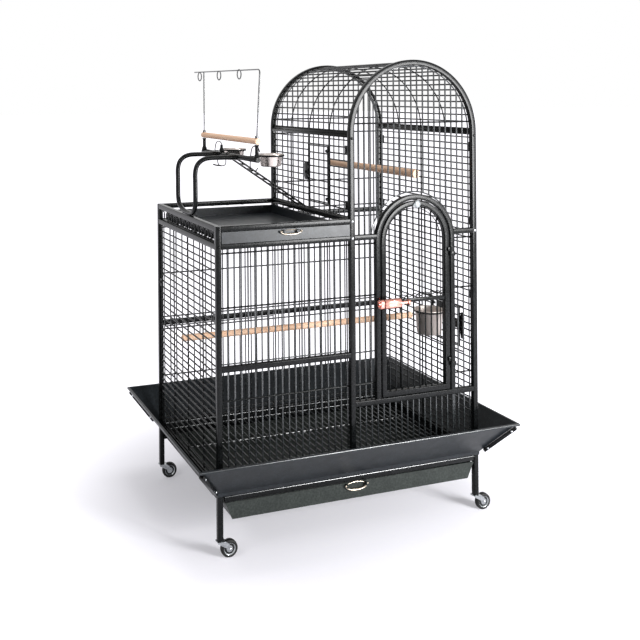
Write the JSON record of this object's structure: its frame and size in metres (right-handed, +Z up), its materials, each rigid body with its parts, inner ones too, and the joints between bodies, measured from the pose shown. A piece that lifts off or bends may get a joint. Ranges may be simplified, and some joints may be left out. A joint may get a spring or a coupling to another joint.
{
  "type": "play top bird cage",
  "caption": "Barred bird cage on casters with a domed half, an arched door, an open play top with a stand, slide-out trays and a sloped seed skirt.",
  "frame": {"origin": "middle of the footprint, on the floor", "axes": "+Z up, -Y towards the arched door and the trays' fronts, +X towards the domed half"},
  "size_m": [1.2506, 0.8716, 1.6815],
  "materials": {
    "powder_coat": "hammertone",
    "sheet": "hammertone",
    "dowel": "sanded",
    "stainless": "polished",
    "copper": "copper plated",
    "nickel": "satin nickel",
    "rubber": "matt",
    "galvanised": "zinc plated"
  },
  "bodies": {
    "cage": {"front_frame": "powder_coat", "back_frame": "powder_coat", "dome_front_arch": "powder_coat", "dome_back_arch": "powder_coat", "dome_hoops": "powder_coat", "left_side_frame": "powder_coat", "right_side_frame": "powder_coat", "dome_side_frame": "powder_coat", "front_left_bars": "powder_coat", "back_left_bars": "powder_coat", "front_right_bars": "powder_coat", "back_right_bars": "powder_coat", "left_wires": "powder_coat", "right_wires": "powder_coat", "dome_side_wires": "powder_coat", "roof_wires": "powder_coat", "scroll_band": "powder_coat", "skirt_front": "sheet", "skirt_right": "sheet", "skirt_back": "sheet", "skirt_left": "sheet", "skirt_strap_front_left": "powder_coat", "skirt_strap_front_right": "powder_coat", "skirt_strap_back_right": "powder_coat", "skirt_strap_back_left": "powder_coat", "play_stand": "powder_coat", "stand_perch": "dowel", "toy_hook": "powder_coat", "upper_perch": "dowel", "lower_perch": "dowel"},
    "main_door": {"main_door": "powder_coat", "main_door_bars": "powder_coat"},
    "main_door_bolt": {"main_door_bolt": "copper"},
    "side_door": {"side_door": "powder_coat"},
    "side_door_latch": {"side_door_latch": "powder_coat"},
    "feeder_door": {"feeder_door": "powder_coat"},
    "feeder_door_latch": {"feeder_door_latch": "powder_coat"},
    "feeder_cup": {"feeder_cup": "stainless"},
    "playtop_tray": {"playtop_tray": "sheet"},
    "tray_handle": {"tray_handle": "nickel"},
    "debris_pan": {"debris_pan": "sheet"},
    "pan_handle": {"pan_handle": "nickel"},
    "floor_grate": {"floor_grate": "powder_coat"},
    "ladder": {"ladder": "powder_coat"},
    "playtop_cup_front": {"playtop_cup_front": "stainless"},
    "playtop_cup_back": {"playtop_cup_back": "stainless"},
    "caster_fork_front_left": {"caster_fork_front_left": "galvanised"},
    "caster_wheel_front_left": {"caster_wheel_front_left": "rubber"},
    "caster_fork_front_right": {"caster_fork_front_right": "galvanised"},
    "caster_wheel_front_right": {"caster_wheel_front_right": "rubber"},
    "caster_fork_back_left": {"caster_fork_back_left": "galvanised"},
    "caster_wheel_back_left": {"caster_wheel_back_left": "rubber"},
    "caster_fork_back_right": {"caster_fork_back_right": "galvanised"},
    "caster_wheel_back_right": {"caster_wheel_back_right": "rubber"}
  },
  "joints": [
    {"name": "main_door_hinge", "type": "hinge", "parent": "cage", "child": "main_door", "pos_m": [0.4028, -0.3365, 0.8], "axis": [0, 0, 1], "range_deg": [0, 120]},
    {"name": "main_door_bolt_slide", "type": "slide", "parent": "main_door", "child": "main_door_bolt", "axis": [-1, 0, 0], "range_m": [0, 0.027]},
    {"name": "side_door_hinge", "type": "hinge", "parent": "cage", "child": "side_door", "pos_m": [-0.0105, -0.1595, 1.255], "axis": [0, 0, 1], "range_deg": [0, 115]},
    {"name": "side_door_latch_pivot", "type": "hinge", "parent": "cage", "child": "side_door_latch", "pos_m": [-0.0086, 0.0105, 1.2554], "axis": [1, 0, 0], "range_deg": [0, 90]},
    {"name": "feeder_door_hinge", "type": "hinge", "parent": "cage", "child": "feeder_door", "pos_m": [0.5185, -0.0645, 0.664], "axis": [0, 0, 1], "range_deg": [0, 110]},
    {"name": "feeder_door_latch_pivot", "type": "hinge", "parent": "cage", "child": "feeder_door_latch", "pos_m": [0.5166, -0.2485, 0.6644], "axis": [1, 0, 0], "range_deg": [-90, 0]},
    {"name": "feeder_cup_lift", "type": "slide", "parent": "feeder_door", "child": "feeder_cup", "axis": [0, 0, 1], "range_m": [0, 0.1]},
    {"name": "playtop_tray_slide", "type": "slide", "parent": "cage", "child": "playtop_tray", "axis": [0, -1, 0], "range_m": [0, 0.5]},
    {"name": "tray_handle_swing", "type": "hinge", "parent": "playtop_tray", "child": "tray_handle", "pos_m": [-0.2465, -0.3395, 1.0865], "axis": [1, 0, 0], "range_deg": [-85, 0]},
    {"name": "debris_pan_slide", "type": "slide", "parent": "cage", "child": "debris_pan", "axis": [0, -1, 0], "range_m": [0, 0.5]},
    {"name": "pan_handle_swing", "type": "hinge", "parent": "debris_pan", "child": "pan_handle", "pos_m": [0, -0.341, 0.1785], "axis": [1, 0, 0], "range_deg": [-85, 0]},
    {"name": "floor_grate_slide", "type": "slide", "parent": "cage", "child": "floor_grate", "axis": [0, -1, 0], "range_m": [0, 0.5]},
    {"name": "ladder_lift", "type": "slide", "parent": "cage", "child": "ladder", "axis": [0, 0, 1], "range_m": [0, 0.03]},
    {"name": "playtop_cup_front_lift", "type": "slide", "parent": "cage", "child": "playtop_cup_front", "axis": [0, 0, 1], "range_m": [0, 0.08]},
    {"name": "playtop_cup_back_lift", "type": "slide", "parent": "cage", "child": "playtop_cup_back", "axis": [0, 0, 1], "range_m": [0, 0.08]},
    {"name": "caster_swivel_front_left", "type": "hinge", "parent": "cage", "child": "caster_fork_front_left", "pos_m": [-0.512, -0.3225, 0.06], "axis": [0, 0, 1], "continuous": true},
    {"name": "caster_roll_front_left", "type": "hinge", "parent": "caster_fork_front_left", "child": "caster_wheel_front_left", "pos_m": [-0.48, -0.3225, 0.03], "axis": [0, 1, 0], "continuous": true},
    {"name": "caster_swivel_front_right", "type": "hinge", "parent": "cage", "child": "caster_fork_front_right", "pos_m": [0.512, -0.3225, 0.06], "axis": [0, 0, 1], "continuous": true},
    {"name": "caster_roll_front_right", "type": "hinge", "parent": "caster_fork_front_right", "child": "caster_wheel_front_right", "pos_m": [0.544, -0.3225, 0.03], "axis": [0, 1, 0], "continuous": true},
    {"name": "caster_swivel_back_left", "type": "hinge", "parent": "cage", "child": "caster_fork_back_left", "pos_m": [-0.512, 0.3225, 0.06], "axis": [0, 0, 1], "continuous": true},
    {"name": "caster_roll_back_left", "type": "hinge", "parent": "caster_fork_back_left", "child": "caster_wheel_back_left", "pos_m": [-0.48, 0.3225, 0.03], "axis": [0, 1, 0], "continuous": true},
    {"name": "caster_swivel_back_right", "type": "hinge", "parent": "cage", "child": "caster_fork_back_right", "pos_m": [0.512, 0.3225, 0.06], "axis": [0, 0, 1], "continuous": true},
    {"name": "caster_roll_back_right", "type": "hinge", "parent": "caster_fork_back_right", "child": "caster_wheel_back_right", "pos_m": [0.544, 0.3225, 0.03], "axis": [0, 1, 0], "continuous": true}
  ]
}
